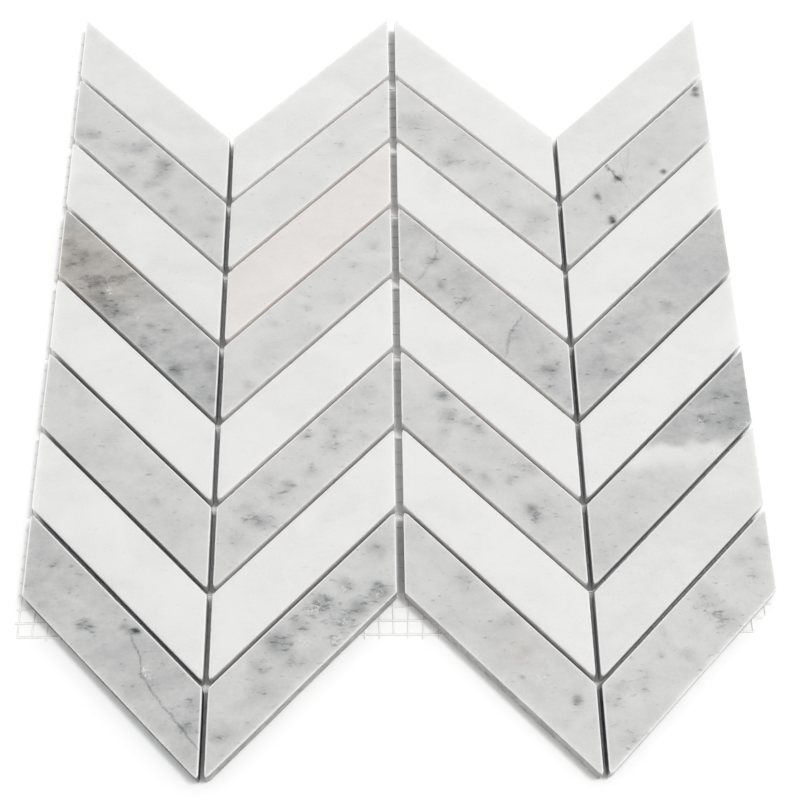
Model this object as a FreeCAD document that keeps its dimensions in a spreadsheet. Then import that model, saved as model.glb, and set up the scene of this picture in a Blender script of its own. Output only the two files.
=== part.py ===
import FreeCAD, Part
import math
import os
import Sketcher

# Chevron mosaic sheet: sawn marble chips in sloping rows, glued face up on a net of glass-fibre yarn.
# +X runs across the columns, +Y towards the far edge of the sheet and +Z out of the polished face.
# The origin lies under the middle of the sheet, level with the underside of the net.

# Driving dimensions, in millimetres and degrees.
sizes = {
    "tile_length": 101.2,      # long edge of a chip
    "tile_width": 24.4,        # across a chip, square to its long edge
    "tile_thickness": 8.0,
    "cut_angle": 45.0,         # slope of the long edges against the X axis
    "column_joint": 2.0,       # gap between an inner and an outer column
    "middle_joint": 2.95,      # gap between the two inner columns
    "row_joint": 1.55,         # gap between two rows, square to the long edges
    "corner_radius": 1.0,      # worn upright corners of a chip
    "arris_bevel": 0.4,        # eased edge round the polished face
    "mesh_pitch": 5.6,         # from one yarn to the next
    "yarn_width": 0.8,
    "yarn_thickness": 0.25,
    "side_overhang": 4.4,      # net beyond the chips at the left and right
    "edge_inset": 2.0,         # net cut back from the sloping near and far edges
    "notch_fill": 17.0,        # net left standing in the near notches
}
column_count = 4
row_count = 8

document = FreeCAD.newDocument("ChevronMosaic")
sheet = document.addObject("Spreadsheet::Sheet", "Sizes")
for line_number, (name, value) in enumerate(sizes.items(), start=1):
    sheet.set(f"A{line_number}", name)
    sheet.set(f"B{line_number}", str(value))
    sheet.setAlias(f"B{line_number}", name)
document.recompute()

# Lengths that follow from the driving ones, as formulas over the sheet.
slope = "tan(Sizes.cut_angle)"
tile_across = "(Sizes.tile_length * cos(Sizes.cut_angle))"
tile_rise = "(Sizes.tile_length * sin(Sizes.cut_angle))"
tile_side = "(Sizes.tile_width / cos(Sizes.cut_angle))"
column_pitch = f"({tile_across} + Sizes.column_joint)"
middle_shift = "((Sizes.middle_joint - Sizes.column_joint) / 2)"
row_pitch = "((Sizes.tile_width + Sizes.row_joint) / cos(Sizes.cut_angle))"
column_rise = f"({column_pitch} * {slope})"
sheet_middle = f"(({row_count} * {row_pitch} - {column_rise}) / 2)"
mesh_thickness = "(2 * Sizes.yarn_thickness)"

# The bevel stays narrower than the corner that it runs round.
largest_bevel_share = 0.8
eased_arris = f"min(Sizes.arris_bevel; {largest_bevel_share} * Sizes.corner_radius)"


def number(formula):
    return float(sheet.evalExpression(formula))


def bind(thing, bindings):
    for path, formula in bindings.items():
        thing.setExpression(path, formula)


def base_sketch(body):
    ground = next(plane for plane in body.Origin.OriginFeatures if plane.Role == "XY_Plane")
    sketch = body.newObject("Sketcher::SketchObject", f"{body.Name}_outline")
    sketch.AttachmentSupport = (ground, [""])
    sketch.MapMode = "FlatFace"
    return sketch


def closed_outline(sketch, corners):
    lines = []
    for start, end in zip(corners, corners[1:] + corners[:1]):
        segment = Part.LineSegment(FreeCAD.Vector(*start, 0), FreeCAD.Vector(*end, 0))
        lines.append(sketch.addGeometry(segment, False))
    for before, after in zip(lines, lines[1:] + lines[:1]):
        sketch.addConstraint(Sketcher.Constraint("Coincident", before, 2, after, 1))
    return lines


def bound_distance(sketch, kind, first, second, formula):
    constraint = Sketcher.Constraint(kind, *first, *second, number(formula))
    index = sketch.addConstraint(constraint)
    sketch.setExpression(f"Constraints[{index}]", formula)


def padded(body, sketch, thickness):
    pad = body.newObject("PartDesign::Pad", f"{body.Name}_block")
    pad.Profile = sketch
    pad.setExpression("Length", thickness)
    document.recompute()
    return pad


def eased(body, base, kind, size, formula, wanted):
    names = [f"Edge{index}" for index, edge in enumerate(base.Shape.Edges, start=1) if wanted(edge)]
    dressing = body.newObject(f"PartDesign::{kind}", f"{body.Name}_{kind.lower()}")
    dressing.Base = (base, names)
    dressing.setExpression(size, formula)
    document.recompute()
    return dressing


# One chip: a parallelogram with two upright sides, its middle on the body's own axis.
def stone_chip(label, direction):
    body = document.addObject("PartDesign::Body", label)
    body.Label = label
    sketch = base_sketch(body)
    half_across = number(tile_across) / 2
    half_rise = direction * number(tile_rise) / 2
    half_side = number(tile_side) / 2
    near, right, far, left = closed_outline(sketch, [
        (-half_across, -half_rise - half_side),
        (half_across, half_rise - half_side),
        (half_across, half_rise + half_side),
        (-half_across, -half_rise + half_side),
    ])
    sketch.addConstraint(Sketcher.Constraint("Vertical", left))
    sketch.addConstraint(Sketcher.Constraint("Symmetric", near, 1, far, 1, -1, 1))
    sketch.addConstraint(Sketcher.Constraint("Symmetric", right, 1, left, 1, -1, 1))
    low, high = ((near, 1), (near, 2)) if direction > 0 else ((near, 2), (near, 1))
    bound_distance(sketch, "DistanceX", (near, 1), (near, 2), tile_across)
    bound_distance(sketch, "DistanceY", low, high, tile_rise)
    bound_distance(sketch, "DistanceY", (near, 1), (left, 1), tile_side)
    block = padded(body, sketch, "Sizes.tile_thickness")
    worn = eased(body, block, "Fillet", "Radius", "Sizes.corner_radius", stands_upright)
    face_height = number("Sizes.tile_thickness")
    eased(body, worn, "Chamfer", "Size", eased_arris, lambda edge: lies_at(edge, face_height))
    return body


def stands_upright(edge):
    first, last = edge.Vertexes[0].Point, edge.Vertexes[-1].Point
    return math.hypot(first.x - last.x, first.y - last.y) < Part.Precision.confusion()


def lies_at(edge, height):
    return all(abs(vertex.Z - height) < Part.Precision.confusion() for vertex in edge.Vertexes)


# All chips. Row 1 is the far one. Odd columns fall to the right and even ones rise.
tiles = []
for row in range(1, row_count + 1):
    stone = "white" if row % 2 else "grey"
    rows_below = row_count - row + 0.5
    for column in range(1, column_count + 1):
        direction = 1 if column % 2 == 0 else -1
        columns_right = column - (column_count + 1) / 2
        outward = 1 if columns_right > 0 else -1
        tile = stone_chip(f"{stone}_tile_row{row}_col{column}", direction)
        bind(tile, {
            "Placement.Base.x": f"({columns_right}) * {column_pitch} + ({outward}) * {middle_shift}",
            "Placement.Base.y": f"{rows_below} * {row_pitch} - {column_rise} / 2 - {sheet_middle}",
            "Placement.Base.z": mesh_thickness,
        })
        tiles.append(tile)

# The outline that the net is cut to: tight along the chips, straight across the near notches.
half_sheet = f"({column_count / 2} * {column_pitch} + {middle_shift} - Sizes.column_joint / 2)"
half_mesh = f"({half_sheet} + Sizes.side_overhang)"
valley = f"({column_pitch} + {middle_shift})"
cut_back = "(Sizes.row_joint / 2 / cos(Sizes.cut_angle) + Sizes.edge_inset)"
far_peak = f"({row_count} * {row_pitch} - {cut_back})"
near_tip = f"({cut_back} - {column_rise})"
notch_reach = f"((Sizes.notch_fill + {cut_back}) / {slope})"


def mesh_outline():
    notch = "-Sizes.notch_fill"
    right_half = [
        (f"{notch_reach} + {middle_shift}", notch),
        (valley, near_tip),
        (f"{valley} + {column_pitch} - {notch_reach}", notch),
        (half_mesh, notch),
        (half_mesh, far_peak),
        (valley, f"{far_peak} - {column_rise}"),
    ]
    left_half = [(f"-({across})", along) for across, along in reversed(right_half)]
    corners = right_half + [("0", far_peak)] + left_half
    return [(across, f"{along} - {sheet_middle}") for across, along in corners]


cutter = document.addObject("PartDesign::Body", "mesh_cutter")
cutter_sketch = base_sketch(cutter)
outline = mesh_outline()
outline_lines = closed_outline(cutter_sketch, [(number(across), number(along)) for across, along in outline])
for line, (across, along) in zip(outline_lines, outline):
    bound_distance(cutter_sketch, "DistanceX", (-1, 1), (line, 1), across)
    bound_distance(cutter_sketch, "DistanceY", (-1, 1), (line, 1), along)
padded(cutter, cutter_sketch, mesh_thickness)

far_end = f"({far_peak} - {sheet_middle})"
near_end = f"({near_tip} - {sheet_middle})"
notch_line = f"(-Sizes.notch_fill - {sheet_middle})"


# One set of like yarns, each a flat ribbon, cut to the outline of the net.
def yarn_layer(label, placements):
    ribbons = []
    for index, bindings in enumerate(placements):
        ribbon = document.addObject("Part::Box", f"{label}_{index}")
        bind(ribbon, bindings)
        ribbon.setExpression("Height", "Sizes.yarn_thickness")
        ribbons.append(ribbon)
    bundle = document.addObject("Part::Compound", f"{label}_bundle")
    bundle.Links = ribbons
    trimmed = document.addObject("Part::Common", label)
    trimmed.Base = bundle
    trimmed.Tool = cutter
    trimmed.Label = label
    return trimmed


# Lengthwise yarns stand in pairs about the middle, half a pitch to each side of it.
def lengthwise_yarns():
    reach = number(half_mesh) - number("Sizes.yarn_width") / 2
    pair_count = math.floor(reach / number("Sizes.mesh_pitch") + 0.5)
    for index in range(-pair_count, pair_count):
        yield {
            "Length": "Sizes.yarn_width",
            "Width": f"{far_end} - {near_end}",
            "Placement.Base.x": f"{index + 0.5} * Sizes.mesh_pitch - Sizes.yarn_width / 2",
            "Placement.Base.y": near_end,
        }


# Crosswise yarns are counted both ways from the straight cut across the notches.
def crosswise_yarns():
    pitch = number("Sizes.mesh_pitch")
    first = math.ceil((number(near_end) - number(notch_line)) / pitch)
    last = math.floor((number(far_end) - number(notch_line)) / pitch)
    for index in range(first, last):
        yield {
            "Length": f"2 * {half_mesh}",
            "Width": "Sizes.yarn_width",
            "Placement.Base.x": f"-{half_mesh}",
            "Placement.Base.y": f"{notch_line} + {index + 0.5} * Sizes.mesh_pitch - Sizes.yarn_width / 2",
            "Placement.Base.z": "Sizes.yarn_thickness",
        }


net = [
    yarn_layer("mesh_lengthwise_yarns", lengthwise_yarns()),
    yarn_layer("mesh_crosswise_yarns", crosswise_yarns()),
]
document.recompute()

pieces = tiles + net
for thing in document.Objects:
    if {"Invalid", "Error"} & set(thing.State):
        raise RuntimeError(f"{thing.Label} failed: {thing.State}")
for piece in pieces:
    if piece.Shape.isNull() or not piece.Shape.isValid():
        raise RuntimeError(f"{piece.Label} has no valid shape")

os.makedirs("parts", exist_ok=True)
for piece in pieces:
    piece.Shape.exportStep(f"parts/{piece.Label}.step")
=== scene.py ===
import math
from functools import partial

import bpy
import numpy as np
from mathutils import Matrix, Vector, noise


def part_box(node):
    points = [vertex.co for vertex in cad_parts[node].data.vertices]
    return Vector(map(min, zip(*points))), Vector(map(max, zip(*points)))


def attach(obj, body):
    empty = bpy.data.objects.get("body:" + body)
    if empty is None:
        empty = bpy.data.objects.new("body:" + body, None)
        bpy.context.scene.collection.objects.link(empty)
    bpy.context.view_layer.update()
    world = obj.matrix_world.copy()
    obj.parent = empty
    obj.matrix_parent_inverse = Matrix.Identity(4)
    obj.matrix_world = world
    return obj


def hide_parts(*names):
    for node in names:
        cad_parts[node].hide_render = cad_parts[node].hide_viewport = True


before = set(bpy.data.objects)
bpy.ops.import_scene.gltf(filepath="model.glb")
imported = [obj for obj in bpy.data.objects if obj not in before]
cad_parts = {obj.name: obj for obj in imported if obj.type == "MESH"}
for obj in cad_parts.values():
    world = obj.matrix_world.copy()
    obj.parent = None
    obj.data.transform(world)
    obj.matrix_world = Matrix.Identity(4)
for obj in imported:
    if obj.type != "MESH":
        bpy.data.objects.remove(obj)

# Chevron mosaic sheet: sawn marble chips on a glass-fibre net, face up on a pale floor.
mm = 0.001
noiseLow, noiseHigh = 0.3, 0.7         # most of a noise texture lies between these
sheet = {"rows": 8, "columns": 4}      # rows are counted from the far edge, columns from the left
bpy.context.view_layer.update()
print("frame loaded, nodes:", len(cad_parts))


def linear(hexColour):
    channels = [int(hexColour[i:i + 2], 16) / 255 for i in (1, 3, 5)]
    return [c / 12.92 if c <= 0.04045 else ((c + 0.055) / 1.055) ** 2.4 for c in channels] + [1.0]


# Inputs go by name or in order, and each is a value, a socket or another node's first output.
# A Mix node has several inputs of one name, so they go by number: 6 and 7 are its colours.
def addNode(tree, kind, inputs=(), **settings):
    item = tree.nodes.new(kind)
    for name, value in settings.items():
        setattr(item, name, value)
    pairs = inputs.items() if isinstance(inputs, dict) else enumerate(inputs)
    for key, value in pairs:
        if isinstance(value, bpy.types.Node):
            value = value.outputs[0]
        if isinstance(value, bpy.types.NodeSocket):
            tree.links.new(value, item.inputs[key])
        else:
            item.inputs[key].default_value = value
    return item


def newShapeTree(name, sockets):
    tree = bpy.data.node_groups.new(name, "GeometryNodeTree")
    tree.interface.new_socket("Geometry", in_out="OUTPUT", socket_type="NodeSocketGeometry")
    for socketName, socketType in sockets.items():
        tree.interface.new_socket(socketName, in_out="INPUT", socket_type="NodeSocket" + socketType)
    return tree, partial(addNode, tree), tree.nodes.new("NodeGroupInput").outputs


# The tree's inputs are set by identifier, and what it gives is kept as a plain mesh.
# An input that isn't given comes from the look: Edge Wave is its edgeWave.
def meshFromTree(name, tree, look, given):
    maker = bpy.data.objects.new(name + ".maker", bpy.data.meshes.new(name + ".blank"))
    bpy.context.scene.collection.objects.link(maker)
    modifier = maker.modifiers.new("nodes", "NODES")
    modifier.node_group = tree
    for item in tree.interface.items_tree:
        if item.in_out == "INPUT":
            key = item.name[0].lower() + item.name[1:].replace(" ", "")
            modifier[item.identifier] = given[item.name] if item.name in given else look[key]
    bpy.context.view_layer.update()
    graph = bpy.context.evaluated_depsgraph_get()
    mesh = bpy.data.meshes.new_from_object(maker.evaluated_get(graph))
    maker.modifiers.remove(modifier)
    bpy.data.objects.remove(maker)
    piece = bpy.data.objects.new(name, mesh)
    bpy.context.scene.collection.objects.link(piece)
    return piece


def countTriangles(piece):
    return sum(len(face.vertices) - 2 for face in piece.data.polygons)


# Marble: calcite sawn into chips and honed. It gives a soft satin face with grey clouds, flecks and
# hairlines, some light that sinks in and comes out again, and a whitish line on the arris, partly where
# it was ground and partly painted highlight.

marbleLook = {                         # the same in both stones
    "pit": "#f4f4f4",
    "alongBed": (0.75, 1.0, 1.0),      # clouds are drawn out along X, the bed of the stone
    "alongStreaks": (0.5, 1.15, 1.0),  # and flecks more so
    "mottleGain": 3.5, "mottleRest": 0.55,
    "fleckGain": 0.20, "fleckFrom": 0.61, "fleckTo": 0.83,
    "veinWander": 0.6,                 # in half widths of the vein
    "veinWave": 4 * mm,
    "veinCore": 0.1,                   # in half widths, where it is darkest
    "brokenFrom": 0.35, "brokenTo": 0.6, "brokenRest": 0.4,
    "sawnDark": -0.10,                 # under 0 the sawn sides are paler than the face: painted light on the sides
    "bodyStop": 0.2, "deepStop": 0.6,  # places of the two middle tones
    "arrisCover": 0.95,
    "crystalSize": 1.9 * mm, "rimFrom": 0.045, "rimTo": 0.01,
    "pitFrom": 0.2, "pitTo": 0.8, "pitCover": 0.48, "pitRelief": -2.0,
    "grainRelief": 0.03 * mm, "reliefStrength": 0.5,
    "roughSwing": 0.06, "sawnRough": 0.35,
    "ior": 1.49, "polish": 0.32,
    "glow": 1.0, "glowTint": (1.0, 0.97, 0.92),
}
whiteMarble = {
    **marbleLook,
    "pale": "#e5e5e4", "body": "#dcdcdb", "deep": "#a9aaa9", "dark": "#77797a",
    # the arris colour is partly ground wear and partly painted highlight
    "warm": "#fff3ee", "arris": "#f2f2f1",
    "cloudSize": 22 * mm, "cloudDepth": 0.09,
    "mottleSize": 4 * mm, "mottleDepth": 0.04,
    "grainSize": 0.9 * mm, "grainDepth": 0.04,
    "fleckSize": 2.0 * mm, "fleckDepth": 0.10,
    "glowReach": 5.0 * mm, "roughness": 0.48,
}
greyMarble = {
    **marbleLook,
    "pale": "#d9d9d8", "body": "#c9c9c8", "deep": "#8f9191", "dark": "#434648",
    # the arris colour is partly ground wear and partly painted highlight
    "warm": "#fff4ea", "arris": "#ececeb",
    "cloudSize": 17 * mm, "cloudDepth": 0.15,
    "mottleSize": 3.4 * mm, "mottleDepth": 0.11,
    "grainSize": 0.8 * mm, "grainDepth": 0.05,
    "fleckSize": 1.9 * mm, "fleckDepth": 0.34,
    "glowReach": 4.5 * mm, "roughness": 0.44,
}


def makeMarble(name, look):
    material = bpy.data.materials.new(name)
    material.use_nodes = True
    tree = material.node_tree
    add = partial(addNode, tree)
    shader = tree.nodes["Principled BSDF"]
    fields = {}
    for field in ("shade", "fleck", "pit", "warm", "veinGap", "veinDepth", "arris", "sawn"):
        fields[field] = add("ShaderNodeAttribute", attribute_name=field).outputs["Fac"]

    # every chip was sawn from its own place in the block
    here = add("ShaderNodeTexCoord").outputs["Object"]
    shift = add("ShaderNodeAttribute", attribute_name="bedShift").outputs["Vector"]
    block = add("ShaderNodeVectorMath", [here, shift], operation="ADD")
    bed = add("ShaderNodeMapping", {"Vector": block, "Scale": look["alongBed"]})
    streaks = add("ShaderNodeMapping", {"Vector": block, "Scale": look["alongStreaks"]})

    clouds = add("ShaderNodeTexNoise", {
        "Vector": bed, "Scale": 1 / look["cloudSize"], "Detail": 4.0, "Roughness": 0.55, "Distortion": 0.8})
    mottle = add("ShaderNodeTexNoise", {
        "Vector": bed, "Scale": 1 / look["mottleSize"], "Detail": 3.0, "Roughness": 0.6})
    grain = add("ShaderNodeTexNoise", {
        "Vector": block, "Scale": 1 / look["grainSize"], "Detail": 1.0})
    flecks = add("ShaderNodeTexNoise", {
        "Vector": streaks, "Scale": 1 / look["fleckSize"], "Detail": 2.0, "Roughness": 0.6})
    wander = add("ShaderNodeTexNoise", {
        "Vector": block, "Scale": 1 / look["veinWave"], "Detail": 3.0})

    # soft clouds, mottling that is stronger where the chip is dark, fine grain, and flecks round the marks
    parts = {}
    for kind, texture in (("cloud", clouds), ("mottle", mottle), ("grain", grain)):
        half = look[kind + "Depth"] / 2
        parts[kind] = add("ShaderNodeMapRange", {
            "Value": texture, "From Min": noiseLow, "From Max": noiseHigh, "To Min": -half, "To Max": half})
    stronger = add("ShaderNodeMath", [fields["shade"], look["mottleGain"], look["mottleRest"]],
                   operation="MULTIPLY_ADD")
    parts["mottle"] = add("ShaderNodeMath", [parts["mottle"], stronger], operation="MULTIPLY")
    fleckReach = add("ShaderNodeMath", [fields["fleck"], look["fleckGain"], flecks], operation="MULTIPLY_ADD")
    parts["fleck"] = add("ShaderNodeMapRange", {
        "Value": fleckReach, "From Min": look["fleckFrom"], "From Max": look["fleckTo"],
        "To Max": look["fleckDepth"]}, interpolation_type="SMOOTHSTEP")

    # hairline: dark close to the line that it follows, which wavers and breaks into grains
    waver = add("ShaderNodeMapRange", {
        "Value": wander, "From Min": noiseLow, "From Max": noiseHigh,
        "To Min": -look["veinWander"], "To Max": look["veinWander"]})
    gap = add("ShaderNodeMath", [fields["veinGap"], waver], operation="ADD")
    gap = add("ShaderNodeMath", [gap], operation="ABSOLUTE")
    line = add("ShaderNodeMapRange", {
        "Value": gap, "From Min": 1.0, "From Max": look["veinCore"]}, interpolation_type="SMOOTHSTEP")
    broken = add("ShaderNodeMapRange", {
        "Value": grain, "From Min": look["brokenFrom"], "From Max": look["brokenTo"],
        "To Min": look["brokenRest"]})
    line = add("ShaderNodeMath", [line, broken], operation="MULTIPLY")
    parts["vein"] = add("ShaderNodeMath", [line, fields["veinDepth"]], operation="MULTIPLY")
    # painted light: the sawn sides are made paler
    parts["side"] = add("ShaderNodeMath", [fields["sawn"], look["sawnDark"]], operation="MULTIPLY")

    # a total of 0 is the body tone
    total = fields["shade"]
    for part in parts.values():
        total = add("ShaderNodeMath", [total, part], operation="ADD")
    total = add("ShaderNodeMath", [total, 1 - look["bodyStop"], look["bodyStop"]], operation="MULTIPLY_ADD")
    ramp = add("ShaderNodeValToRGB", [total])
    stops = ramp.color_ramp.elements
    stops.new(look["bodyStop"])
    stops.new(look["deepStop"])
    for stop, tone in zip(stops, ("pale", "body", "deep", "dark")):
        stop.color = linear(look[tone])

    # whitish arris: partly ground wear, partly painted highlight, plus painted light on the upper sawn sides
    ringWearAndHighlight = add("ShaderNodeMath", [fields["arris"], look["arrisCover"]], operation="MULTIPLY")
    edged = add("ShaderNodeMix", {0: ringWearAndHighlight, 6: ramp, 7: linear(look["arris"])}, data_type="RGBA")
    warmed = add("ShaderNodeMix", {0: fields["warm"], 6: edged.outputs[2], 7: linear(look["warm"])},
                 data_type="RGBA", blend_type="MULTIPLY")

    # loose crystals show as bright curved rims round small pits
    crystals = add("ShaderNodeTexNoise", {
        "Vector": block, "Scale": 1 / look["crystalSize"], "Detail": 1.0})
    rims = add("ShaderNodeMath", [crystals, 0.5], operation="SUBTRACT")
    rims = add("ShaderNodeMath", [rims], operation="ABSOLUTE")
    rims = add("ShaderNodeMapRange", {
        "Value": rims, "From Min": look["rimFrom"], "From Max": look["rimTo"]},
        interpolation_type="SMOOTHSTEP")
    loose = add("ShaderNodeMapRange", {
        "Value": fields["pit"], "From Min": look["pitFrom"], "From Max": look["pitTo"],
        "To Max": look["pitCover"]})
    pits = add("ShaderNodeMath", [rims, loose], operation="MULTIPLY")
    pitted = add("ShaderNodeMix", {0: pits, 6: warmed.outputs[2], 7: linear(look["pit"])}, data_type="RGBA")
    tree.links.new(pitted.outputs[2], shader.inputs["Base Color"])

    # honed on the face, rough on the sawn sides
    swing = look["roughSwing"]
    rough = add("ShaderNodeMapRange", {
        "Value": grain, "From Min": noiseLow, "From Max": noiseHigh,
        "To Min": look["roughness"] - swing, "To Max": look["roughness"] + swing})
    rough = add("ShaderNodeMath", [fields["sawn"], look["sawnRough"], rough], operation="MULTIPLY_ADD")
    tree.links.new(rough.outputs[0], shader.inputs["Roughness"])
    relief = add("ShaderNodeMath", [pits, look["pitRelief"], grain], operation="MULTIPLY_ADD")
    bump = add("ShaderNodeBump", {
        "Height": relief, "Strength": look["reliefStrength"], "Distance": look["grainRelief"]})
    tree.links.new(bump.outputs[0], shader.inputs["Normal"])
    shader.inputs["IOR"].default_value = look["ior"]
    shader.inputs["Specular IOR Level"].default_value = look["polish"]
    shader.inputs["Subsurface Weight"].default_value = look["glow"]
    shader.inputs["Subsurface Radius"].default_value = look["glowTint"]
    shader.inputs["Subsurface Scale"].default_value = look["glowReach"]
    return material


# Stone chips

chipLook = {
    "width": 24.4 * mm,            # square to the sloping edge
    "cutAngle": 45,                # degrees
    "cornerRadius": 0.75 * mm,
    "cornerSpread": 0.25,          # share by which the corners differ from chip to chip
    "arris": 0.42 * mm,            # rounded edge of the face
    "nearArris": 0.15,             # painted highlight: the near arrises are whitened less than the others
    "nearFrom": -0.7,              # outward direction of a near arris in Y
    "nearTo": -0.1,
    "marginWear": 0.75,            # whitening of the flat margin beside the arris, partly wear and partly painted highlight
    "gridStep": 0.75 * mm,
    "nickDepth": 0.45 * mm,        # bruises along the arris
    "nickSize": 2.4 * mm,
    "nickFrom": 0.64, "nickTo": 0.80,
    "nickSink": 0.5,               # depth below the face, as a share of the depth from the side
    "edgeWave": 0.12 * mm,         # saw wander along an edge
    "edgeWaveLength": 32 * mm,
    "faceWave": 0.05 * mm,         # a honed face is not dead flat
    "faceWaveLength": 28 * mm,
    "arrisSteps": 3,
    "sideSteps": 3,
    "weld": 0.002 * mm,
    "cornerStep": 1.7,             # places in the noise, from chip to chip
    "seedStep": (0.37, 0.11, 0.0),
}


def makeChipTree(look):
    tree, add, given = newShapeTree("sawnChip", {
        "Across": "Float", "Side": "Float", "Slope": "Float", "Thickness": "Float",
        "Corner Radius": "Float", "Arris": "Float", "Near Arris": "Float", "Grid Step": "Float",
        "Across Count": "Int", "Side Count": "Int",
        "Nick Depth": "Float", "Nick Size": "Float", "Edge Wave": "Float", "Edge Wave Length": "Float",
        "Face Wave": "Float", "Face Wave Length": "Float",
        "Seed": "Vector", "Centre": "Vector", "Material": "Material",
    })

    # a grid fills the chip's outline, drawn in by the corner radius
    grid = add("GeometryNodeMeshGrid", {
        "Size X": 2.0, "Size Y": 2.0, "Vertices X": given["Across Count"], "Vertices Y": given["Side Count"]})
    place = add("GeometryNodeInputPosition")
    share = add("ShaderNodeSeparateXYZ", [place])
    slant = add("ShaderNodeCombineXYZ", [1.0, given["Slope"], 0.0])
    stretch = add("ShaderNodeVectorMath", [slant], operation="LENGTH").outputs["Value"]
    drawnIn = add("ShaderNodeMath", [given["Corner Radius"], stretch], operation="MULTIPLY")
    halfAcross = add("ShaderNodeMath", [given["Across"], 0.5], operation="MULTIPLY")
    halfAcross = add("ShaderNodeMath", [halfAcross, given["Corner Radius"]], operation="SUBTRACT")
    halfSide = add("ShaderNodeMath", [given["Side"], 0.5], operation="MULTIPLY")
    halfSide = add("ShaderNodeMath", [halfSide, drawnIn], operation="SUBTRACT")
    x = add("ShaderNodeMath", [share.outputs["X"], halfAcross], operation="MULTIPLY")
    lift = add("ShaderNodeMath", [x, given["Slope"]], operation="MULTIPLY")
    y = add("ShaderNodeMath", [share.outputs["Y"], halfSide, lift], operation="MULTIPLY_ADD")
    drawn = add("ShaderNodeCombineXYZ", [x, y, given["Thickness"]])

    # the rim's outward direction: each edge's own, turning over one grid step at a corner
    fallBack = add("ShaderNodeMath", [given["Slope"], -1.0], operation="MULTIPLY")
    square = add("ShaderNodeCombineXYZ", [fallBack, 1.0, 0.0])
    square = add("ShaderNodeVectorMath", [square], operation="NORMALIZE")
    upright = add("ShaderNodeCombineXYZ", [1.0, 0.0, 0.0])
    pulls = []
    for axis, halfLength, normal in (("X", halfAcross, upright), ("Y", halfSide, square)):
        towards = add("ShaderNodeMath", [share.outputs[axis]], operation="SIGN")
        distance = add("ShaderNodeMath", [share.outputs[axis]], operation="ABSOLUTE")
        distance = add("ShaderNodeMath", [1.0, distance], operation="SUBTRACT")
        distance = add("ShaderNodeMath", [distance, halfLength], operation="MULTIPLY")
        near = add("ShaderNodeMapRange", {
            "Value": distance, "From Min": given["Grid Step"], "From Max": 0.0})
        pull = add("ShaderNodeMath", [near, towards], operation="MULTIPLY")
        pulls.append(add("ShaderNodeVectorMath", {0: normal, "Scale": pull}, operation="SCALE"))
    outward = add("ShaderNodeVectorMath", pulls, operation="ADD")
    outward = add("ShaderNodeVectorMath", [outward], operation="NORMALIZE")
    shape = add("GeometryNodeStoreNamedAttribute", {
        "Geometry": grid, "Name": "outward", "Value": outward}, data_type="FLOAT_VECTOR", domain="POINT")
    shape = add("GeometryNodeSetPosition", {"Geometry": shape, "Position": drawn})
    rimOut = add("GeometryNodeInputNamedAttribute", {"Name": "outward"}, data_type="FLOAT_VECTOR")

    # rings grow from the rim: flat margin, rounded arris, sawn side and a lower edge half an arris wide
    margin = add("ShaderNodeMath", [given["Corner Radius"], given["Arris"]], operation="SUBTRACT")
    rings = [(margin, 0.0, look["marginWear"], 0.0)]
    turns = [math.pi / 2 * step / look["arrisSteps"] for step in range(look["arrisSteps"] + 1)]
    for before, after in zip(turns, turns[1:]):
        outBy = add("ShaderNodeMath", [given["Arris"], math.sin(after) - math.sin(before)],
                    operation="MULTIPLY")
        dropBy = add("ShaderNodeMath", [given["Arris"], math.cos(after) - math.cos(before)],
                     operation="MULTIPLY")
        rings.append((outBy, dropBy, 1.0, 0.0))
    halfDrop = add("ShaderNodeMath", [given["Arris"], -0.5], operation="MULTIPLY")
    rings.append((0.0, halfDrop, 0.0, 1.0))
    sideDrop = add("ShaderNodeMath", [given["Arris"], 2.0], operation="MULTIPLY")
    sideDrop = add("ShaderNodeMath", [sideDrop, given["Thickness"]], operation="SUBTRACT")
    sideDrop = add("ShaderNodeMath", [sideDrop, 1 / look["sideSteps"]], operation="MULTIPLY")
    rings += [(0.0, sideDrop, 0.0, 1.0)] * look["sideSteps"]
    rings.append((halfDrop, halfDrop, 0.0, 1.0))

    # painted highlight: arrises facing the near side get less of the whitening
    facing = add("ShaderNodeSeparateXYZ", [rimOut])
    arrisHighlightShare = add("ShaderNodeMapRange", {
        "Value": facing.outputs["Y"], "From Min": look["nearFrom"], "From Max": look["nearTo"],
        "To Min": given["Near Arris"]})
    faceCount = add("GeometryNodeInputMeshEdgeNeighbors")
    rim = add("FunctionNodeCompare", {2: faceCount, 3: 1}, data_type="INT", operation="EQUAL")
    for outBy, dropBy, ringWearAndHighlight, sawn in rings:
        wearAndHighlight = add("ShaderNodeMath", [arrisHighlightShare, ringWearAndHighlight], operation="MULTIPLY")
        grown = add("GeometryNodeExtrudeMesh", {
            "Mesh": shape, "Selection": rim, "Offset Scale": 0.0}, mode="EDGES")
        rim = grown.outputs["Top"]
        sideways = add("ShaderNodeVectorMath", {0: rimOut, "Scale": outBy}, operation="SCALE")
        downwards = add("ShaderNodeCombineXYZ", [0.0, 0.0, dropBy])
        step = add("ShaderNodeVectorMath", [sideways, downwards], operation="ADD")
        shape = add("GeometryNodeSetPosition", {
            "Geometry": grown, "Selection": rim, "Offset": step})
        for name, value in (("arris", wearAndHighlight), ("sawn", sawn)):
            shape = add("GeometryNodeStoreNamedAttribute", {
                "Geometry": shape, "Selection": rim, "Name": name, "Value": value},
                data_type="FLOAT", domain="POINT")

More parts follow.
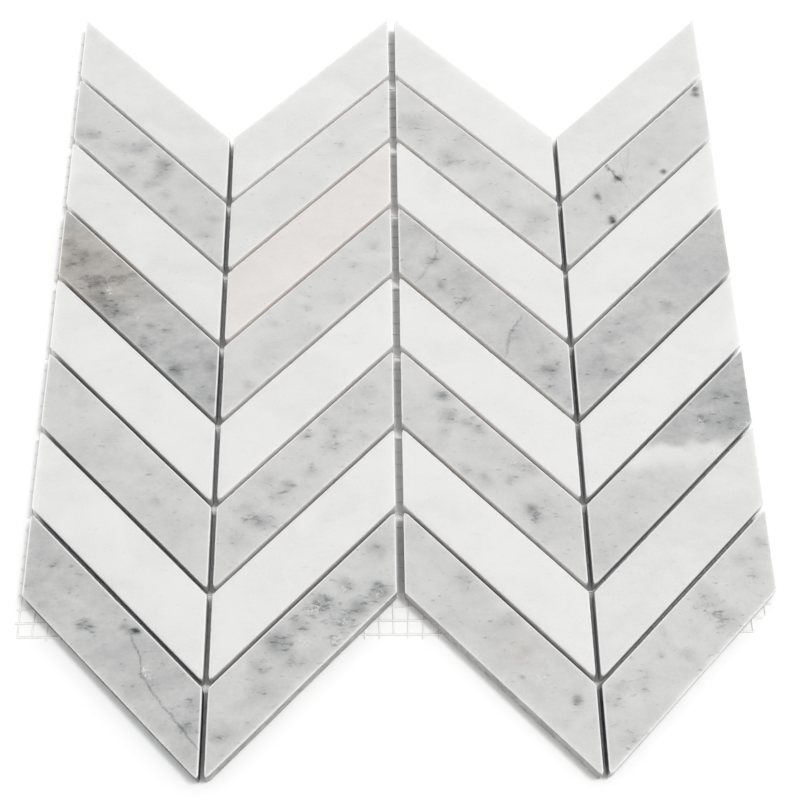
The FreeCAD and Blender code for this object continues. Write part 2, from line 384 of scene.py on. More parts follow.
    # saw wander and bruises move the rim, and the face rolls very slightly
    wearAndHighlight = add("GeometryNodeInputNamedAttribute", {"Name": "arris"}, data_type="FLOAT")
    seeded = add("ShaderNodeVectorMath", [place, given["Seed"]], operation="ADD")
    swings = {}
    for name, detail in (("Edge Wave Length", 0.0), ("Face Wave Length", 0.0), ("Nick Size", 2.0)):
        often = add("ShaderNodeMath", [1.0, given[name]], operation="DIVIDE")
        swings[name] = add("ShaderNodeTexNoise", {
            "Vector": seeded, "Scale": often, "Detail": detail})
    wander = add("ShaderNodeMapRange", {
        "Value": swings["Edge Wave Length"], "From Min": noiseLow, "From Max": noiseHigh,
        "To Max": given["Edge Wave"]})
    nick = add("ShaderNodeMapRange", {
        "Value": swings["Nick Size"], "From Min": look["nickFrom"], "From Max": look["nickTo"],
        "To Max": given["Nick Depth"]})
    nick = add("ShaderNodeMath", [nick, wearAndHighlight], operation="MULTIPLY")
    inward = add("ShaderNodeMath", [wander, nick], operation="ADD")
    inward = add("ShaderNodeMath", [inward, -1.0], operation="MULTIPLY")
    inward = add("ShaderNodeVectorMath", {0: rimOut, "Scale": inward}, operation="SCALE")
    roll = add("ShaderNodeMapRange", {
        "Value": swings["Face Wave Length"], "From Min": noiseHigh, "From Max": noiseLow,
        "To Max": given["Face Wave"]})
    sunk = add("ShaderNodeMath", [nick, look["nickSink"], roll], operation="MULTIPLY_ADD")
    height = add("ShaderNodeSeparateXYZ", [place])
    height = add("ShaderNodeMath", [height.outputs["Z"], given["Thickness"]], operation="DIVIDE")
    sunk = add("ShaderNodeMath", [sunk, height], operation="MULTIPLY")
    sunk = add("ShaderNodeMath", [sunk, -1.0], operation="MULTIPLY")
    downwards = add("ShaderNodeCombineXYZ", [0.0, 0.0, sunk])
    wornBy = add("ShaderNodeVectorMath", [inward, downwards], operation="ADD")
    shape = add("GeometryNodeSetPosition", {"Geometry": shape, "Offset": wornBy})

    # the sawn back closes the chip
    backEdge = add("GeometryNodeMeshToCurve", {"Mesh": shape, "Selection": rim})
    back = add("GeometryNodeFillCurve", {"Curve": backEdge}, mode="TRIANGLES")
    back = add("GeometryNodeStoreNamedAttribute", {"Geometry": back, "Name": "sawn", "Value": 1.0},
               data_type="FLOAT", domain="POINT")
    back = add("GeometryNodeFlipFaces", {"Mesh": back})
    smooth = add("GeometryNodeSetShadeSmooth", {"Geometry": shape, "Shade Smooth": True})
    whole = add("GeometryNodeJoinGeometry", [smooth])
    tree.links.new(back.outputs[0], whole.inputs[0])
    welded = add("GeometryNodeMergeByDistance", {"Geometry": whole, "Distance": look["weld"]})
    placed = add("GeometryNodeTransform", {"Geometry": welded, "Translation": given["Centre"]})
    solid = add("GeometryNodeRealizeInstances", {"Geometry": placed})
    coated = add("GeometryNodeSetMaterial", {"Geometry": solid, "Material": given["Material"]})
    add("NodeGroupOutput", [coated])
    return tree


def stoneOf(row):
    return "white" if row % 2 else "grey"


def chipNode(row, column):
    return f"{stoneOf(row)}_tile_row{row}_col{column}"


cut = math.radians(chipLook["cutAngle"])
farRow = [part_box(chipNode(1, column)) for column in range(1, sheet["columns"] + 1)]
chipAcross = farRow[0][1].x - farRow[0][0].x
chipSide = chipLook["width"] / math.cos(cut)
chipTree = makeChipTree(chipLook)


def makeChip(node, direction, material, seed):
    low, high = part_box(node)
    differs = chipLook["cornerSpread"] * noise.noise((seed * chipLook["cornerStep"], 0.5, 0.5))
    return meshFromTree(node + ".stone", chipTree, chipLook, {
        "Across": chipAcross,
        "Side": chipSide,
        "Slope": direction * math.tan(cut),
        "Thickness": high.z - low.z,
        "Corner Radius": chipLook["cornerRadius"] * (1 + differs),
        "Across Count": round(chipAcross / chipLook["gridStep"]) + 1,
        "Side Count": round(chipSide / chipLook["gridStep"]) + 1,
        "Seed": [seed * step for step in chipLook["seedStep"]],
        "Centre": ((low.x + high.x) / 2, (low.y + high.y) / 2, low.z),
        "Material": material,
    })


# Marks listed in millimetres from a chip's middle: along X, then up from its sloping centre line.
# A spot has its place, size, depth and flecks, and a pit or a warm stain its place, size and strength.
# A vein has its depth and width, then the points it follows. A band is darker by its depth above a height
# over the chip's middle, and it has a tilt and a softness too. A chip's own side shade darkens its sawn
# sides: painted shade.
stoneMarks = {
    "grey_tile_row2_col1": {
        "spots": [
            (-29, -8, 4, 0.12, 0.2), (-25, -7, 3, 0.1, 0.2), (-13, 2, 4, 0.1, 0.1), (-5, 8, 4, 0.14, 0.2),
            (-10, -10, 4, 0.1, 0.2), (7, 10, 3.5, 0.24, 0.4), (6, 4, 3, 0.16, 0.3), (2, -6, 2.5, 0.14, 0.2),
            (7, -7, 2, 0.1, 0.1), (13, -9, 2.5, 0.1, 0.2), (28, -8, 3, 0.1, 0.1), (31, 4, 2.5, 0.1, 0.1)]},
    "grey_tile_row2_col2": {
        "shade": -0.165,
        "spots": [(13, 1, 1.6, 0.16, 0.3), (15, -5, 5, 0.05, 0)]},
    "grey_tile_row2_col3": {
        "shade": -0.05,
        "spots": [
            (-29, -3, 5, 0.1, 0.3), (-24, -8, 4, 0.1, 0.3), (-6, 11, 4, 0.06, 0.2), (-14, -6, 4, 0.12, 0.4),
            (-12, -9, 3, 0.16, 0.4), (2, 4, 4, 0.08, 0.3), (16, 13, 2.5, 0.08, 0.2), (12, -8, 4, 0.12, 0.4),
            (27, 1, 4, 0.1, 0.3), (23, -10, 4, 0.08, 0.3)]},
    "grey_tile_row2_col4": {
        "shade": -0.02,
        "spots": [
            (-9, 3, 1.7, 0.56, 0.5), (-19.6, 4.5, 1.3, 0.34, 0.3), (-19.3, 2.6, 1.2, 0.3, 0.3),
            (7, -4, 2, 0.07, 0), (31.3, 13.5, 1.3, 0.5, 0.5), (30.8, 11, 1.1, 0.66, 0.5),
            (10.8, -12.5, 1.1, 0.45, 0.4), (11.4, -14.5, 1.1, 0.5, 0.4), (-14.5, -13.2, 1.1, 0.45, 0.4),
            (-14, -15.6, 1.2, 0.75, 0.5), (-12, -3, 8, 0.05, 0)],
        "veins": [(0.58, 3, (-14, 15), (-11, 8), (-9, 3)), (0.12, 1.2, (-3, 14), (-5, 4))]},
    "grey_tile_row4_col1": {
        "shade": 0.23, "warm": (-24, -3, 22, 0.62),
        "spots": [
            (-32, 1, 3, 0.16, 0.3), (-27, 1, 3, 0.14, 0.2), (-31, -9, 3, 0.14, 0.2),
            (-26, -2, 2.5, 0.12, 0.2), (-19, 9, 2, 0.1, 0.2), (-19, -9, 4, 0.16, 0.4),
            (-15, -10, 4, 0.14, 0.4), (-10, -11, 4, 0.16, 0.5), (-1, -9, 2.5, 0.1, 0.4),
            (6, -2, 1.8, 0.16, 0.3), (13, 3, 3, 0.08, 0.3), (5, -12, 3, 0.1, 0.4), (18, -12, 2.2, 0.26, 0.5),
            (32, 4, 2.2, 0.16, 0.3), (34, -9, 2, 0.12, 0.3)],
        "veins": [(0.24, 6, (-24, -9), (-15, 0), (-9, 6), (-2, 16))],
        "pits": [(-13, -4, 2.5, 0.9), (-1, -5, 2, 0.7)]},
    "grey_tile_row4_col2": {
        "shade": -0.04,
        "spots": [
            (28, 3, 2.5, 0.14, 0.3), (19, 3, 2.5, 0.1, 0.3), (-1, 2, 2, 0.14, 0.3), (13, -8, 3, 0.1, 0.3),
            (-16, 8, 2.5, 0.1, 0.3), (3, -13, 2, 0.1, 0.3), (-25, -12, 2.2, 0.14, 0.3)]},
    "grey_tile_row4_col3": {
        "shade": 0.09,
        "spots": [
            (-20, 5, 3, 0.12, 0.4), (-18, -6, 1.8, 0.2, 0.4), (-10, 7, 5, 0.08, 0.2), (-8, -3, 5, 0.06, 0.4),
            (14, 1, 4, 0.08, 0.2), (24, 4, 2, 0.1, 0.3), (27, -3, 2.8, 0.22, 0.9), (28, -11, 2.5, 0.12, 0.5),
            (34, -12, 2.5, 0.1, 0.3), (-27, 14, 3, 0.08, 0.2)],
        "veins": [
            (0.16, 2.2, (-19, 15), (-20, 5), (-23, -2), (-27, -12)),
            (0.14, 1.8, (-5, 0), (-9, -7), (-12, -14)), (0.24, 2, (16, 11), (11, -2), (9, -13))]},
    "grey_tile_row4_col4": {
        "shade": 0.14,
        "spots": [
            (6, -6, 2.2, 0.16, 0.3), (-21, 6, 3.5, 0.1, 0.3), (-21, -11, 2, 0.16, 0.4),
            (-12, -14, 2, 0.14, 0.4), (-15, 9, 2, 0.08, 0.2), (10, 17, 2, 0.12, 0.3), (-27, -4, 7, 0.04, 0.1),
            (-8, -3, 2, 0.06, 0.2)]},
    "grey_tile_row6_col1": {
        "shade": 0.01,
        "spots": [(14, -2, 1.8, 0.12, 0.3), (-7, 5, 3, 0.05, 0.2), (-20, 9, 3, 0.06, 0.2)]},
    "grey_tile_row6_col2": {
        "shade": -0.01,
        "spots": [
            (-1, 15, 2, 0.18, 0.5), (10, -2, 3, 0.14, 0.7), (12, 2, 2, 0.1, 0.4), (2, -5, 2.5, 0.12, 0.4),
            (-7, -2, 2.2, 0.2, 0.6), (-11, -3, 3, 0.14, 0.3), (-15, 9, 2.5, 0.12, 0.3),
            (-17, -8, 3, 0.22, 0.6), (-25, 5, 3, 0.1, 0.3), (-22, -3, 3, 0.1, 0.4), (-28, -5, 3, 0.08, 0.4),
            (24, 8, 4, 0.08, 0.3), (20, 4, 3, 0.08, 0.3), (7, 13, 2.5, 0.1, 0.3), (21, -9, 3, 0.06, 0.3)],
        "pits": [(10, -3, 2, 0.8)]},
    "grey_tile_row6_col3": {
        "spots": [
            (-19, 12, 3, 0.28, 0.5), (-16, 6, 2.8, 0.22, 0.5), (-9, 9, 2.2, 0.16, 0.4),
            (-4, 11, 2.2, 0.18, 0.4), (-18, -3, 2.5, 0.1, 0.2), (12, 11, 4, 0.1, 0.4),
            (18, 15, 2.5, 0.08, 0.2), (8, 0, 2.2, 0.14, 0.4), (-3, -10, 2, 0.16, 0.4),
            (-10, -13, 2, 0.12, 0.4), (15, -5, 2.2, 0.3, 0.7), (17, -7, 2, 0.16, 0.7),
            (20, -2, 9, 0.05, 0.1)],
        "pits": [(10, 11, 2.5, 0.7), (17, -7, 2, 0.7)]},
    "grey_tile_row6_col4": {
        "shade": 0.01, "bands": [(7, 0.07, 2, 0.3), (-2, 0, 3.4, -0.15)],
        "spots": [
            (15, 4, 2.2, 0.2, 0.7), (23, 7, 2.2, 0.12, 0.4), (33, -2, 6, 0.06, 0.3), (26, -8, 4, 0.1, 0.4),
            (-30, -9, 2, 0.06, 0.4)],
        "pits": [(14.5, 4, 2, 0.9), (32, -16, 2.5, 1.2), (-30, -9, 1.6, 0.8)]},
    "grey_tile_row8_col1": {
        "shade": 0.13, "slurry": 0.75,
        "spots": [
            (-24, 7, 2.2, 0.13, 0.5), (-31, 2, 3, 0.06, 0.4), (-31, -8, 3, 0.06, 0.3), (-18, 2, 2, 0.08, 0.4),
            (-12, -6, 1.7, 0.12, 0.7), (-10, -3, 1.6, 0.15, 0.7), (-8, -3, 1.4, 0.12, 0.7),
            (31, 6, 3.2, 0.13, 0.5), (5, 10, 1.2, 0.24, 0.8), (8, 11, 1.4, 0.4, 1), (10, 13, 1.1, 0.26, 0.8),
            (32, -1, 2.5, 0.13, 0.4), (17, 1, 3, 0.04, 0.3), (28, -5, 1.6, 0.08, 0.2)],
        "veins": [(0.3, 1.6, (8, 9), (12, 4), (12.5, -1), (17, -3), (22, -4), (28, -5), (35, -6))],
        "pits": [(14, 2.9, 1.6, 1.2), (16.4, 2.1, 1.4, 1.1), (13, 0, 1.5, 0.55)]},
    "grey_tile_row8_col2": {
        "shade": 0.03, "slurry": 0.45,
        "spots": [
            (-10, 9, 4.5, 0.26, 0.6), (-2, 7, 4, 0.14, 0.6), (6, 8, 4.2, 0.22, 0.8), (16, 5, 3, 0.18, 0.6),
            (16, -8, 3, 0.16, 0.6), (21, -8, 3, 0.26, 0.5), (29, -10, 4.2, 0.24, 0.8), (-3, -6, 4, 0.14, 0.6),
            (12, -13, 2.5, 0.14, 0.5), (28, 8, 4, 0.12, 0.4), (-17, 6, 2.5, 0.14, 0.4),
            (-15, -5, 3.5, 0.1, 0.4), (-33, -3, 3, 0.12, 0.4), (-29, -9, 3, 0.1, 0.3),
            (10, -3, 6, 0.06, 0.3)],
        "pits": [
            (4, 9, 3, 0.9), (16, -9, 2.5, 0.9), (29, -11, 2.5, 0.8), (12, -13, 2.5, 1.1), (15, 4, 2, 0.8),
            (0, -1, 3, 0.5)]},
    "grey_tile_row8_col3": {
        "shade": 0.02, "slurry": 0.45, "warm": (8, 4, 6, 0.2),
        "spots": [
            (-12, 10, 4, 0.1, 0.3), (3, 9, 3.5, 0.12, 0.2), (-3, -4, 3, 0.06, 0.3), (28, 3, 1.6, 0.42, 0.6),
            (8, -8, 0.9, 0.3, 0.3), (9, 3, 2.2, 0.08, 0.1)],
        "pits": [(16, 0, 5, 0.5), (28, 2.5, 1.2, 0.6)]},
    "grey_tile_row8_col4": {
        "slurry": 0.25,
        "spots": [
            (32, 6, 2.2, 0.14, 0.4), (22, 9, 2.5, 0.1, 0.4), (27, -1, 2.5, 0.1, 0.4), (7, 6, 4, 0.13, 0.6),
            (15, -9, 4.5, 0.12, 0.6), (-2, -5, 2.6, 0.12, 0.4), (-9, 9, 2, 0.09, 0.3),
            (-12, 5, 1.6, 0.1, 0.3), (-19, 4, 2, 0.08, 0.4), (-29, 9, 2.4, 0.12, 0.4),
            (-21, 1, 2.5, 0.08, 0.4), (-32, 6, 3, 0.1, 0.5), (-26, -13, 3, 0.1, 0.4)]},
    "white_tile_row1_col1": {"shade": 0.06},
    "white_tile_row1_col2": {"shade": 0.04},
    "white_tile_row1_col4": {"shade": 0.05},
    "white_tile_row3_col1": {"shade": 0.04},
    "white_tile_row3_col2": {"shade": 0.05, "warm": (0, 0, 60, 0.36)},
    "white_tile_row7_col4": {"shade": 0.08},
}
markLook = {                       # lengths in mm
    "strength": 1.45,
    "stretch": 1.25,               # marks lie along the bed of the stone
    "drift": 1.6, "driftSize": 6.0, "driftSeed": 7,
    "fleckSpread": 1.2,            # flecks reach this much further than their spot
    "warmCore": 1.6,               # over 1, the middle of a stain is even
    "noVein": 100.0,               # far from any vein, in half widths
    "bandDrift": 2.6,              # how far a band's edge wanders
    "bandSharpness": 3.0,
    "pitDent": 0.07, "gritSize": 0.9,
    "endFrom": 0.76, "endFade": 0.2,      # outward direction of an end in X
    "endSlurry": 0.55,             # painted shade on the ends in a joint between inner and outer column
    "outerSlurry": 0.32,           # painted shade on the sloping sides of the outer columns
    "sideDust": 0.9,               # inner columns' sides are painted lighter higher up: painted light
    "lowSlurry": 0.5,              # and painted darker towards the back: painted shade
    "sideWarm": 0.35,              # and tinted warm on the near-facing side
    "cleanRows": 5.7,              # before this row the sides carry more painted light than painted shade
    "cleanFade": 2.8,              # and this many rows before it their painted shade is gone
    "driftStep": 2.3,              # places in the noise and in the block, from chip to chip
    "bedStep": (0.61, 0.23, 0.17),
}


# Turns a chip's marks into values on its points, which the stone's material reads.
def markStone(chip, marks, middle, direction, outer, paintedLightShare, seed):
    mesh = chip.data
    count = len(mesh.vertices)
    points = np.empty(count * 3)
    mesh.vertices.foreach_get("co", points)
    points = points.reshape(-1, 3)
    flat = (points[:, :2] - np.array(middle)) / mm
    size = markLook["driftSize"]
    layer = seed * markLook["driftStep"]
    drift = np.array([noise.noise_vector((x / size, y / size, layer)) for x, y in flat])[:, :2]
    ragged = flat + drift * markLook["drift"]
    slope = direction * math.tan(cut)

    def bell(along, up, reach):
        gap = ragged - np.array((along, up + slope * along))
        return np.exp(-(gap[:, 0] / reach / markLook["stretch"]) ** 2 - (gap[:, 1] / reach) ** 2)

    # painted shade, painted light and a warm tint on the sawn sides and ends
    values = {name: np.zeros(count) for name in ("fleck", "pit", "warm", "veinDepth")}
    sawn = np.empty(count)
    mesh.attributes["sawn"].data.foreach_get("value", sawn)
    outward = np.empty(count * 3)
    mesh.attributes["outward"].data.foreach_get("vector", outward)
    outX, outY = outward.reshape(-1, 3)[:, :2].T
    ends = np.clip((np.abs(outX) - markLook["endFrom"]) / markLook["endFade"], 0, 1)
    inJoint = np.where(np.sign(outX) == -direction, ends, 0.0)
    rise = points[:, 2] / points[:, 2].max()
    ownSideShade = marks.get("slurry", 0.0)
    if outer or ownSideShade:
        wallLight = markLook["sideDust"] * paintedLightShare
        onSides = max(ownSideShade, markLook["outerSlurry"] * (1 - paintedLightShare) if outer else 0.0)
    else:
        wallLight = markLook["sideDust"]
        onSides = markLook["lowSlurry"] * (1 - paintedLightShare) * (1 - rise)
    # painted shade on the sawn sides and ends
    slurry = markLook["endSlurry"] * inJoint + ownSideShade * (inJoint if outer else ends) + onSides * (1 - ends)
    values["shade"] = marks.get("shade", 0.0) + slurry * sawn
    if not outer:
        values["warm"] += markLook["sideWarm"] * (1 - ends) * sawn * (outY < 0)
    # painted light on the upper sides is stored with the arris whitening
    pale = np.empty(count)
    mesh.attributes["arris"].data.foreach_get("value", pale)
    pale = np.maximum(pale, wallLight * rise * (1 - ends) * sawn)
    mesh.attributes["arris"].data.foreach_set("value", pale)

    # spots, pits, bands, stains and veins
    values["veinGap"] = np.full(count, markLook["noVein"])
    for along, up, reach, depth, fleck in marks.get("spots", ()):
        values["shade"] += depth * markLook["strength"] * bell(along, up, reach)
        values["fleck"] += fleck * bell(along, up, reach * markLook["fleckSpread"])
    for along, up, reach, depth in marks.get("pits", ()):
        values["pit"] += depth * bell(along, up, reach)
    wavy = flat[:, 1] + drift[:, 1] * markLook["bandDrift"]
    for height, tilt, softness, depth in marks.get("bands", ()):
        below = (height + tilt * flat[:, 0] - wavy) / softness
        values["shade"] += depth * markLook["strength"] / (1 + np.exp(below * markLook["bandSharpness"]))
    if "warm" in marks:
        along, up, reach, depth = marks["warm"]
        values["warm"] += depth * np.clip(markLook["warmCore"] * bell(along, up, reach), 0, 1)
    for depth, width, *route in marks.get("veins", ()):
        route = [np.array((along, up + slope * along)) for along, up in route]
        for start, end in zip(route, route[1:]):
            run = end - start
            share = np.clip((flat - start) @ run / (run @ run), 0, 1)
            gap = flat - start - share[:, None] * run
            side = np.sign(run[0] * gap[:, 1] - run[1] * gap[:, 0])
            distance = np.hypot(gap[:, 0], gap[:, 1]) / (width / 2)
            nearer = distance < np.abs(values["veinGap"])
            values["veinGap"][nearer] = (distance * side)[nearer]
            values["veinDepth"][nearer] = depth
    for name, value in values.items():
        mesh.attributes.new(name, "FLOAT", "POINT").data.foreach_set("value", value)
    shift = np.tile(Vector([seed * step for step in markLook["bedStep"]]), count)
    mesh.attributes.new("bedShift", "FLOAT_VECTOR", "POINT").data.foreach_set("vector", shift)

    # pits are small dents in the face
    top = points[:, 2] > points[:, 2].max() - chipLook["arris"]
    size = markLook["gritSize"]
    grit = np.array([noise.noise((x / size, y / size, seed)) for x, y in flat])
    points[:, 2] -= np.where(top, np.clip(values["pit"] * grit, 0, 1), 0) * markLook["pitDent"] * mm
    mesh.vertices.foreach_set("co", points.ravel())
    mesh.update()


stones = {
    "white": makeMarble("honedWhiteMarble", whiteMarble),
    "grey": makeMarble("honedGreyMarble", greyMarble),
}
noise.seed_set(markLook["driftSeed"])  # noise vectors start from the clock otherwise
chipTriangles = 0
for row in range(1, sheet["rows"] + 1):
    stone = stoneOf(row)
    paintedLightShare = min(1.0, max(0.0, (markLook["cleanRows"] - row) / markLook["cleanFade"]))
    for column in range(1, sheet["columns"] + 1):
        node = chipNode(row, column)
        direction = 1 if column % 2 == 0 else -1
        outer = column in (1, sheet["columns"])
        seed = row * sheet["columns"] + column
        chip = makeChip(node, direction, stones[stone], seed)
        low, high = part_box(node)
        middle = ((low.x + high.x) / 2, (low.y + high.y) / 2)
        markStone(chip, stoneMarks.get(node, {}), middle, direction, outer, paintedLightShare, seed)
        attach(chip, "root")
        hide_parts(node)
        chipTriangles += countTriangles(chip)
print("chips ready, triangles:", chipTriangles)


# Backing net

netLook = {
    "pitch": 5.6 * mm,
    "yarnWidth": 0.70 * mm,
    "yarnThickness": 0.22 * mm,
    "yarnSides": 6,
    "solidWidth": 0.8 * mm,        # of a yarn in the solids, which reach half of it past the outer yarns
    "stepsPerPitch": 4,
    "spareSteps": 2,               # past each end, before the yarns are trimmed
    "crimp": 0.05 * mm,            # each yarn dips under and rises over its neighbours
    "wander": 0.35 * mm,           # yarns are not quite straight
    "swayScale": (150.0, 22.0, 1.0),      # to the metre: quick from yarn to yarn, slow along one
    "fray": 2.0 * mm,              # unevenness of the cut edge
    "fraySize": 7 * mm,
    "edgeInset": 2.0 * mm,         # net cut back from the chips' near and far edges
    "notchFill": 17.0 * mm,        # net left standing in the near notches
    "cornerFill": 8.0 * mm,        # the right near corner is torn off closer to the stone
    "rightTrim": 3.5 * mm,         # and so is the whole right side
    "tornFrom": 1.5,               # that corner starts this many columns right of the middle
}


def makeNetTree(look):
    tree, add, given = newShapeTree("gluedNet", {
        "Yarns": "Int", "First": "Float", "Pitch": "Float", "Points": "Int", "Step": "Float",
        "Height": "Float", "Crosswise": "Bool", "Yarn Width": "Float", "Yarn Thickness": "Float",
        "Crimp": "Float", "Wander": "Float", "Fray": "Float",
        "Column Pitch": "Float", "Slope": "Float", "Far Peak": "Float", "Near Peak": "Float",
        "Middle Shift": "Float", "Notch Line": "Float", "Half Width": "Float", "Corner Fill": "Float",
        "Right Trim": "Float", "Material": "Material",
    })

    # straight rows of points, one row for each yarn, centred along their length
    spacing = add("ShaderNodeCombineXYZ", [given["Pitch"], 0.0, 0.0])
    first = add("ShaderNodeCombineXYZ", [given["First"], 0.0, 0.0])
    places = add("GeometryNodeMeshLine", {
        "Count": given["Yarns"], "Start Location": first, "Offset": spacing})
    stepping = add("ShaderNodeCombineXYZ", [0.0, given["Step"], 0.0])
    reach = add("ShaderNodeMath", [given["Points"], 1.0], operation="SUBTRACT")
    reach = add("ShaderNodeMath", [reach, -0.5], operation="MULTIPLY")
    start = add("ShaderNodeMath", [reach, given["Step"]], operation="MULTIPLY")
    start = add("ShaderNodeCombineXYZ", [0.0, start, 0.0])
    row = add("GeometryNodeMeshLine", {
        "Count": given["Points"], "Start Location": start, "Offset": stepping})
    rows = add("GeometryNodeInstanceOnPoints", {"Points": places, "Instance": row})
    rows = add("GeometryNodeRealizeInstances", {"Geometry": rows})

    # crimp over and under, wander sideways, then turn for the crosswise set
    place = add("GeometryNodeInputPosition")
    spot = add("ShaderNodeSeparateXYZ", [place])
    both = add("ShaderNodeMath", [spot.outputs["X"], spot.outputs["Y"]], operation="ADD")
    phase = add("ShaderNodeMath", [both, given["Pitch"]], operation="DIVIDE")
    phase = add("ShaderNodeMath", [phase, math.pi], operation="MULTIPLY")
    wave = add("ShaderNodeMath", [phase], operation="COSINE")
    height = add("ShaderNodeMath", [wave, given["Crimp"], given["Height"]], operation="MULTIPLY_ADD")
    sway = add("ShaderNodeVectorMath", [place, look["swayScale"]], operation="MULTIPLY")
    sway = add("ShaderNodeTexNoise", {"Vector": sway, "Scale": 1.0, "Detail": 1.0})
    sway = add("ShaderNodeMath", [sway, 0.5], operation="SUBTRACT")
    sideways = add("ShaderNodeMath", [sway, given["Wander"]], operation="MULTIPLY")
    sideways = add("ShaderNodeMath", [sideways, 2.0, spot.outputs["X"]], operation="MULTIPLY_ADD")
    lengthwise = add("ShaderNodeCombineXYZ", [sideways, spot.outputs["Y"], height])
    crosswise = add("ShaderNodeCombineXYZ", [spot.outputs["Y"], sideways, height])
    chosen = add("GeometryNodeSwitch", {
        "Switch": given["Crosswise"], "False": lengthwise, "True": crosswise}, input_type="VECTOR")
    laid = add("GeometryNodeSetPosition", {"Geometry": rows, "Position": chosen})

    # trimmed to the sheet: zigzag near and far edges, straight across the near notches
    across = add("ShaderNodeMath", [spot.outputs["X"]], operation="ABSOLUTE")
    zigzag = add("ShaderNodeMath", [across, given["Middle Shift"]], operation="SUBTRACT")
    zigzag = add("ShaderNodeMath", [zigzag, 0.0], operation="MAXIMUM")
    zigzag = add("ShaderNodeMath", [zigzag, given["Column Pitch"]], operation="PINGPONG")
    fall = add("ShaderNodeMath", [zigzag, given["Slope"]], operation="MULTIPLY")
    ragged = add("ShaderNodeTexNoise", {"Vector": place, "Scale": 1 / look["fraySize"], "Detail": 0.0})
    ragged = add("ShaderNodeMath", [ragged, given["Fray"]], operation="MULTIPLY")
    farLine = add("ShaderNodeMath", [given["Far Peak"], fall], operation="SUBTRACT")
    farLine = add("ShaderNodeMath", [farLine, ragged], operation="SUBTRACT")
    stoneLine = add("ShaderNodeMath", [given["Near Peak"], fall], operation="SUBTRACT")
    cutLine = add("ShaderNodeMath", [stoneLine, given["Notch Line"]], operation="MINIMUM")
    tornLine = add("ShaderNodeMath", [stoneLine, given["Corner Fill"]], operation="SUBTRACT")
    tornLine = add("ShaderNodeMath", [tornLine, cutLine], operation="MAXIMUM")
    outer = add("ShaderNodeMath", [spot.outputs["X"], given["Column Pitch"]], operation="DIVIDE")
    outer = add("ShaderNodeMath", [outer, look["tornFrom"]], operation="GREATER_THAN")
    nearLine = add("ShaderNodeMix", {0: outer, 2: cutLine, 3: tornLine}, data_type="FLOAT")
    nearLine = add("ShaderNodeMath", [nearLine, ragged], operation="ADD")
    pastFar = add("ShaderNodeMath", [spot.outputs["Y"], farLine], operation="GREATER_THAN")
    pastNear = add("ShaderNodeMath", [spot.outputs["Y"], nearLine], operation="LESS_THAN")
    sideLine = add("ShaderNodeMath", [given["Half Width"], ragged], operation="SUBTRACT")
    trimmed = add("ShaderNodeMath", [outer, given["Right Trim"]], operation="MULTIPLY")
    sideLine = add("ShaderNodeMath", [sideLine, trimmed], operation="SUBTRACT")
    pastSide = add("ShaderNodeMath", [across, sideLine], operation="GREATER_THAN")
    outside = add("ShaderNodeMath", [pastFar, pastNear], operation="MAXIMUM")
    outside = add("ShaderNodeMath", [outside, pastSide], operation="MAXIMUM")
    kept = add("GeometryNodeDeleteGeometry", {"Geometry": laid, "Selection": outside}, domain="POINT")

    # flat bundle of fibres along each row
    lines = add("GeometryNodeMeshToCurve", {"Mesh": kept})
    lines = add("GeometryNodeSetCurveNormal", {"Curve": lines}, mode="Z_UP")
    section = add("GeometryNodeCurvePrimitiveCircle", {
        "Resolution": look["yarnSides"], "Radius": 0.5})
    flatten = add("ShaderNodeCombineXYZ", [given["Yarn Width"], given["Yarn Thickness"], 1.0])
    section = add("GeometryNodeTransform", {"Geometry": section.outputs["Curve"], "Scale": flatten})
    yarns = add("GeometryNodeCurveToMesh", {
        "Curve": lines, "Profile Curve": section, "Fill Caps": True})
    yarns = add("GeometryNodeSetShadeSmooth", {"Geometry": yarns, "Shade Smooth": True})
    solid = add("GeometryNodeRealizeInstances", {"Geometry": yarns})
    coated = add("GeometryNodeSetMaterial", {"Geometry": solid, "Material": given["Material"]})
    add("NodeGroupOutput", [coated])
    return tree


# Glass-fibre yarn in a white dip: pale, slightly glossy, with fine strands along it.
fibreLook = {
    "light": "#f8f8f7", "dull": "#e6e4df", "dullFrom": 0.12, "lightFrom": 0.36,
    "patchSize": 4 * mm,
    "strandSize": 0.25 * mm, "strandRelief": 0.04 * mm, "reliefStrength": 0.6,
    "roughness": 0.5, "ior": 1.5,
}


def makeFibre(look):
    material = bpy.data.materials.new("dippedGlassFibre")
    material.use_nodes = True
    tree = material.node_tree
    add = partial(addNode, tree)
    shader = tree.nodes["Principled BSDF"]
    here = add("ShaderNodeTexCoord").outputs["Object"]
    strands = add("ShaderNodeTexNoise", {
        "Vector": here, "Scale": 1 / look["strandSize"], "Detail": 2.0})
    patches = add("ShaderNodeTexNoise", {
        "Vector": here, "Scale": 1 / look["patchSize"], "Detail": 2.0})
    tone = add("ShaderNodeMath", [strands, patches], operation="MULTIPLY")
    tone = add("ShaderNodeMapRange", {
        "Value": tone, "From Min": look["dullFrom"], "From Max": look["lightFrom"]})
    colour = add("ShaderNodeMix", {0: tone, 6: linear(look["dull"]), 7: linear(look["light"])},
                 data_type="RGBA")
    tree.links.new(colour.outputs[2], shader.inputs["Base Color"])
    bump = add("ShaderNodeBump", {
        "Height": strands, "Strength": look["reliefStrength"], "Distance": look["strandRelief"]})
    tree.links.new(bump.outputs[0], shader.inputs["Normal"])
    shader.inputs["Roughness"].default_value = look["roughness"]
    shader.inputs["IOR"].default_value = look["ior"]
    return material


